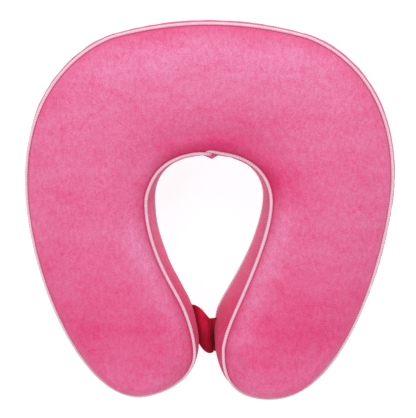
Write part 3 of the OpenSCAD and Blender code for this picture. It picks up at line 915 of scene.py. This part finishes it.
def make_tape(which, up):
    rows, columns = 140, 12
    angle = np.linspace(BACK_HALF_ANGLE + 0.008, -BACK_HALF_ANGLE - 0.008, rows)
    # The two tapes close up behind the stops, where they are sewn under the wall.
    near = np.interp(np.abs(angle), [ZIP_HALF_ANGLE, ZIP_HALF_ANGLE + 0.004], [1, 0.02])
    points = np.array([[(*on_arc(a, TAPE_FACE), ZIP_Z + up * h)
                        for h in np.linspace(n, ZIP_SLOT + 2.5, columns)] for a, n in zip(angle, near)])
    along = np.broadcast_to((angle * ZIP_R)[:, None], (rows, columns))
    piece = new_piece(f"zip_tape_{which}_weave", points, grid_faces(rows, columns, flip=up < 0), TAPE,
                      np.stack([along, points[..., 2]], -1))
    thickened(piece, TAPE_T)
    finished(piece, "pillow", "zip_tape", f"zip_tape_{which}")


def make_coil(which, up):
    """A flattened helix of nylon; the two halves mesh half a turn apart."""
    length = 2 * ZIP_HALF_ANGLE * ZIP_R
    turns = length / COIL_PITCH
    theta = np.arange(0, turns * math.tau, math.tau / 10)
    shift = 0 if up > 0 else math.pi
    angle = ZIP_HALF_ANGLE - theta / math.tau * COIL_PITCH / ZIP_R
    radius = COIL_MIDDLE + 0.62 * np.sin(theta + shift)
    z = ZIP_Z + up * (1.0 - 0.85 * np.cos(theta + shift))
    ups = np.stack([np.cos(angle), -np.sin(angle), np.zeros(len(angle))], -1)
    path = raised(on_arc(angle, radius), z)
    piece = tube_piece(f"zip_coil_{which}_teeth", path, WIRE_R, 6, NYLON, ups)
    finished(piece, "pillow", "zip_coil", f"zip_coil_{which}")


def slider_place(points):
    """Moves points drawn as (out, along, up) from the slider's middle to their place."""
    points = np.asarray(points, float)
    out = facing(SLIDER_AT)
    along = np.array([-out[1], out[0]])
    flat = on_arc(SLIDER_AT, ZIP_R) + points[..., :1] * out + points[..., 1:2] * along
    return raised(flat, ZIP_Z + points[..., 2])


def plate(outline, low, high):
    """A flat plate drawn as (along, up) with its thickness out from low to high."""
    return prism([(low, *p) for p in outline], [(high, *p) for p in outline])


def metal_piece(name, parts, bevel, *nodes, body):
    points, faces = joined(parts)
    piece = new_piece(name, slider_place(points), faces, NICKEL)
    bevelled(piece, bevel, 2)
    applied(piece, "WEIGHTED_NORMAL")
    finished(piece, body, "zip_metal", *nodes)


def oblong(a0, a1, u0, u1):
    return [(a0, u0), (a1, u0), (a1, u1), (a0, u1)]


def rod(centre, axis_half, radius, sides=16):
    """A short rod along the up direction."""
    ring = [(centre[0] + radius * math.cos(t), centre[1] + radius * math.sin(t))
            for t in np.arange(sides) * math.tau / sides]
    return prism([(*p, -axis_half) for p in ring], [(*p, axis_half) for p in ring])


PIN_OUT = 2.9
HALF_L = 4.5


def make_slider():
    """Two plates with lips round the coils, a web between them and two ears for the pull's pin."""
    back, front = -HALF_L + 2, HALF_L - 1.5
    body_shape = rounded([(-HALF_L, -2.9), (back, -4), (front, -4), (HALF_L, -3.2),
                          (HALF_L, 3.2), (front, 4), (back, 4), (-HALF_L, 2.9)], 0.6)
    parts = [plate(body_shape, 0.2, 1.1), plate(body_shape, -4.4, -3.5)]
    for up in (-1, 1):
        parts.append(plate(oblong(back, front, *sorted((up * 2.8, up * 4))), -1.3, 0.9))
        parts.append(plate(oblong(-1.3, 1.3, up * 1.9 - 0.4, up * 1.9 + 0.4), 0.6, PIN_OUT + 1.0))
    parts.append(plate(oblong(HALF_L - 2.4, HALF_L, -0.3, 0.3), -4.2, 0.9))
    parts.append(rod((PIN_OUT, 0), 2.3, 0.6))
    metal_piece("zip_slider_body", parts, 0.18, "zip_slider", body="slider")


def make_pull():
    """A tab with a round end, a raised rim and an eye round the slider's pin."""
    n = 20
    turns = [k / n * math.tau for k in range(n)]
    points = [(PIN_OUT + radius * math.cos(t), radius * math.sin(t), up)
              for radius in (1.4, 0.72) for up in (-1.3, 1.3) for t in turns]
    faces = [[a * n + k, a * n + (k + 1) % n, b * n + (k + 1) % n, b * n + k]
             for a, b in ((0, 1), (1, 3), (3, 2), (2, 0)) for k in range(n)]
    parts = [(points, faces)]
    neck = [(-1.2, -1.3), (-1.2, 1.3), (-6.5, 1.1), (-6.5, -1.1)]
    parts.append(plate(neck[::-1], PIN_OUT - 0.45, PIN_OUT + 0.45))
    half_turn = np.linspace(0, math.pi, 13)[::-1]
    end = [(-21 - 3 * math.sin(t), 3 * math.cos(t)) for t in half_turn]
    tab = rounded([(-5.8, -2.0), (-7.5, -3), *end, (-7.5, 3), (-5.8, 2.0)], 0.25, 2)
    inner_end = [(-20.6 - 2 * math.sin(t), 2 * math.cos(t)) for t in half_turn]
    inner = [(-8.5, -2), *inner_end, (-8.5, 2)]
    parts.append(plate(tab, PIN_OUT - 0.5, PIN_OUT + 0.5))
    metal_piece("zip_pull_tab", parts, 0.16, "zip_pull", body="pull")
    rim_points, rim_faces = plate(inner, PIN_OUT + 0.45, PIN_OUT + 0.62)
    rim = new_piece("zip_pull_inlay", slider_place(rim_points), rim_faces, NICKEL)
    bevelled(rim, 0.12, 2)
    finished(rim, "pull", "zip_metal")


def make_zip():
    for which, up in (("upper", 1), ("lower", -1)):
        make_tape(which, up)
        make_coil(which, up)
    make_slider()
    make_pull()
    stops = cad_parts["zip_stops"].data.materials
    stops.clear()
    stops.append(NICKEL)


# ---- Stitches ----


STITCH = 2.4
STITCH_PITCH = 3.2
THREAD_R = 0.22


def make_zip_stitches():
    """Topstitching along the two folded edges beside the zip; each stitch dips in at both ends."""
    angle = np.linspace(BACK_HALF_ANGLE - 0.008, -BACK_HALF_ANGLE + 0.008, 200)
    out = raised(facing(angle), 0)
    parts = []
    for z in (ZIP_Z + ZIP_SLOT + 2.4, ZIP_Z - ZIP_SLOT - 2.4):
        path = raised(on_arc(angle, back_wall_at(z) + 0.02), z)
        along = run_length(path)
        for k in range(int(along[-1] / STITCH_PITCH)):
            spans = np.linspace(k * STITCH_PITCH, k * STITCH_PITCH + STITCH, 5)
            line = np.stack([np.interp(spans, along, path[:, a]) for a in range(3)], -1)
            ups = out[np.rint(np.interp(spans, along, np.arange(len(path)))).astype(int)]
            line = line + ups * THREAD_R * np.array([-0.8, 0.5, 0.9, 0.5, -0.8])[:, None]
            parts.append(strand(line, THREAD_R * np.array([0.5, 0.9, 1, 0.9, 0.5]), 6, ups))
    points, faces = joined(parts)
    finished(new_piece("zip_topstitching", points, faces, THREAD), "pillow", "velour")


# ---- Strap ----

STRAP_Z = 37
SEWN_LOW = 16
BACK_EDGE = [[-14.2, -85], [-10.5, -85.8], [-6.5, -88.3], [-3, -93], [0.6, -98.5]]
FRONT_EDGE = [[-9.4, -121.2], [-6.4, -124.8], [-3.0, -127.6], [0.6, -129.4], [4.2, -129.8]]
ARCH = [-1.6, 1.6, 3.5, 1.8, -3.0]
STRAP_FILL = [1.3, 2.0, 2.4, 2.0, 1.1]
SEWN = [(SEWN_LOW, 0.3), (22, 0.5), (28, 0.5), (32, 0.7)]
SEWN_FILL = [0.5, 0.7, 0.7, 0.8]


def smooth_rows(rows, steps):
    """Rows of points with smooth rows filled in between them (Catmull-Rom)."""
    rows = np.asarray(rows, float)
    ends = np.concatenate([2 * rows[:1] - rows[1:2], rows, 2 * rows[-1:] - rows[-2:-1]])
    made = []
    for k in range(len(rows) - 1):
        a, b, c, d = ends[k:k + 4]
        for t in np.arange(steps) / steps:
            made.append(0.5 * (2 * b + (c - a) * t + (2 * a - 5 * b + 4 * c - d) * t * t
                               + (3 * b - a - 3 * c + d) * t ** 3))
    made.append(rows[-1])
    return np.array(made)


def padded_sheet(name, centre, thick, material, light_mix):
    """A closed padded sheet round a grid of middle points, thick at each."""
    across = np.gradient(centre, axis=1)
    along = np.gradient(centre, axis=0)
    normal = np.cross(along, across)
    normal /= np.linalg.norm(normal, axis=-1)[..., None]
    top, under = centre + normal * thick[..., None], centre - normal * thick[..., None]
    rings = np.concatenate([top, under[:, ::-1]], 1)
    rows, columns = rings.shape[:2]
    faces = grid_faces(rows, columns, wrap=True, flip=True)
    faces += ladder(list(range(columns)))
    faces += ladder([(rows - 1) * columns + k for k in range(columns)], flip=True)
    piece = new_piece(name, rings, faces, material)
    # The share of painted light, the same on both faces of the sheet.
    paint(piece, "painted_light", np.concatenate([light_mix, light_mix[:, ::-1]], 1))
    return applied(piece, "SUBSURF", levels=1)


def make_strap():
    columns = 22
    b = np.linspace(0, 1, columns)[:, None]
    sewn_steps = np.linspace(21, 24.5, columns)
    place, out = seam(LEFT_ARM, sewn_steps)
    rows = []
    for z, away in SEWN:
        reach = wall_reach(LEFT_ARM, sewn_steps, z) + PLAY + away
        rows.append(raised(place + reach[:, None] * out, z))
    for back, front, rise in zip(BACK_EDGE, FRONT_EDGE, ARCH):
        line = np.array(back) * (1 - b) + np.array(front) * b
        rows.append(raised(line, STRAP_Z + rise - 1.25))
    steps = 5
    centre = smooth_rows(rows, steps)
    half = np.interp(np.arange(len(centre)), np.arange(len(rows)) * steps, SEWN_FILL + STRAP_FILL)
    edge = np.minimum(b[:, 0], 1 - b[:, 0]) * 30
    side = np.sqrt(np.clip(edge / 5, 0.02, 1))
    thick = half[:, None] * side[None, :]
    thick[0] *= 0.4
    thick[-1] *= 0.35
    thick[-2] *= 0.75
    # Painted light on the strap: a painted highlight on its raised ridge, painted shade towards its
    # front edge, and its low sewn end painted lighter against its shade.
    ridge_highlight = np.clip((centre[..., 2] - 35.5) / 3.5, 0, 1) ** 1.5
    light_mix = np.interp(b[:, 0], [0, 0.3, 0.6, 1], [0.9, 0.82, 0.45, 0.28])[None, :]
    light_mix = light_mix * (0.25 + 0.75 * ridge_highlight) + 0.5 * np.clip((33 - centre[..., 2]) / 3, 0, 1)
    piece = padded_sheet("strap_padded", centre, thick, CRIMSON, light_mix)
    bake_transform(piece)
    finished(piece, None, "strap_velour", "strap_sewn_end", "strap", fill=0.7)


TAB_TOP = 30.3
TAB_T = 1.8
TAB = [(-5.4, -99.3), (3, -99), (7.5, -98), (6.5, -107), (6.2, -118), (6.8, -130), (-1.6, -127.5)]
PATCH = [(-4.6, -100), (0.6, -103), (1.8, -127), (-2.2, -124)]
HOOK_Z = 31.6
# One low share of painted light for every slab, so the tab under the strap stays dark.
SLAB_LIGHT_SHARE = 0.3


def slab(name, outline, low, high, material):
    """A soft flat slab with rounded edges."""
    outline = rounded(outline, 1.2, 3)
    points, faces = prism([(*p, low) for p in outline], [(*p, high) for p in outline])
    piece = new_piece(name, points, [f[::-1] for f in faces], material)
    bevelled(piece, min(0.5, 0.4 * (high - low)), 3)
    applied(piece, "TRIANGULATE")
    # Every point gets the same share of painted light.
    paint(piece, "painted_light", np.full(len(piece.data.vertices), SLAB_LIGHT_SHARE))
    return piece


def inside(place, outline, margin):
    """Whether a place is inside a convex outline by this margin."""
    depth = [((x2 - x1) * (place[1] - y1) - (y2 - y1) * (place[0] - x1)) / math.hypot(x2 - x1, y2 - y1)
             for (x1, y1), (x2, y2) in zip(outline, outline[1:] + outline[:1])]
    return max(depth) < -margin or min(depth) > margin


def make_fastening():
    tab = slab("fastening_tab_velour", TAB, TAB_TOP - TAB_T, TAB_TOP, CRIMSON)
    finished(tab, "pillow", "strap_velour", "fastening_tab")
    hook_base = slab("hook_patch_base", PATCH, HOOK_Z + 0.5, HOOK_Z + 1, HOOKS)
    finished(hook_base, "strap", "hook_tape", "hook_patch")
    loop_base = slab("loop_patch_base", PATCH, TAB_TOP, TAB_TOP + 0.5, LOOPS)
    finished(loop_base, "pillow", "loop_tape", "loop_patch")
    hooks, loops = [], []
    t = np.linspace(0, 1, 7)
    drop = np.stack([0.25 * np.sin(t * 4.4), 0 * t, -0.62 * np.sin(np.minimum(t * 2.2, 1.7))], -1)
    for i in range(8):
        for j in range(26):
            spot = np.array([-5 + i * 0.95, -128 + j * 1.15])
            if not inside(spot, PATCH, 0.6):
                continue
            line = np.array([*spot, HOOK_Z + 0.55]) + drop * [1, 1, 0.8]
            hooks.append(strand(line, 0.09, 5, np.broadcast_to([0, 1.0, 0], line.shape)))
            turn = grain((*spot, 0), 0.7) * 6
            over = 0.5 * np.cos(t * math.pi)
            arc = np.stack([over * math.cos(turn), over * math.sin(turn),
                            0.42 * np.sin(t * math.pi)], -1)
            line = np.array([*spot, TAB_TOP + 0.46]) + arc
            ups = np.broadcast_to([-math.sin(turn), math.cos(turn), 0.0], line.shape)
            loops.append(strand(line, 0.07, 5, ups))
    finished(new_piece("hook_patch_hooks", *joined(hooks), HOOKS), "strap", "hook_tape")
    finished(new_piece("loop_patch_loops", *joined(loops), LOOPS), "pillow", "loop_tape")


# ---- Stage ----

LOOKED_AT = np.array([-1.1, 5.0, 72.0])
CAMERA_AWAY = 552
CAMERA_TILT = math.radians(4.9)
LENS = 57.03
FLOOR_HALF = 3000


def make_floor():
    """A plain white floor that glows a little, as under a packshot."""
    material = new_material("floor_white", Roughness=0.9, Specular_IOR_Level=0.0,
                            Base_Color=(0.34, 0.34, 0.34, 1), Emission_Color=(1, 1, 1, 1),
                            Emission_Strength=0.84)[0]
    points = [(*p, -0.3) for p in oblong(-FLOOR_HALF, FLOOR_HALF, -FLOOR_HALF, FLOOR_HALF)]
    new_piece("floor", points, [[0, 1, 2, 3]], material)


def soft_light(name, place, aim, size, power):
    data = bpy.data.lights.new(name, "AREA")
    data.shape = "DISK"
    data.size = size
    data.energy = power
    light = placed(name, data)
    light.location = place
    light.rotation_euler = (Vector(aim) - Vector(place)).to_track_quat("-Z", "Y").to_euler()


def make_lights():
    world = bpy.data.worlds.new("studio")
    world.use_nodes = True
    background = world.node_tree.nodes["Background"]
    background.inputs["Color"].default_value = (1, 1, 1, 1)
    background.inputs["Strength"].default_value = 0.67
    bpy.context.scene.world = world
    soft_light("key", (0.25, 1.0, 1.15), (0, 0.02, 0.05), 0.9, 7.5)
    soft_light("fill", (-0.7, -0.3, 1.2), (0, 0, 0.05), 1.0, 3)


def make_camera():
    data = bpy.data.cameras.new("camera")
    data.lens = LENS
    data.sensor_fit = "HORIZONTAL"
    data.clip_start = 0.01
    camera = placed("camera", data)
    away = CAMERA_AWAY * np.array([0, math.sin(CAMERA_TILT), math.cos(CAMERA_TILT)])
    camera.location = (LOOKED_AT + away) * MM
    camera.rotation_euler = (-CAMERA_TILT, 0, 0)
    bpy.context.scene.camera = camera


make_camera()
make_floor()
make_lights()
bpy.context.scene.view_settings.view_transform = "Standard"
make_filling()
make_top_panel()
make_bottom_panel()
make_walls()
make_piping()
make_zip()
make_zip_stitches()
make_strap()
make_fastening()
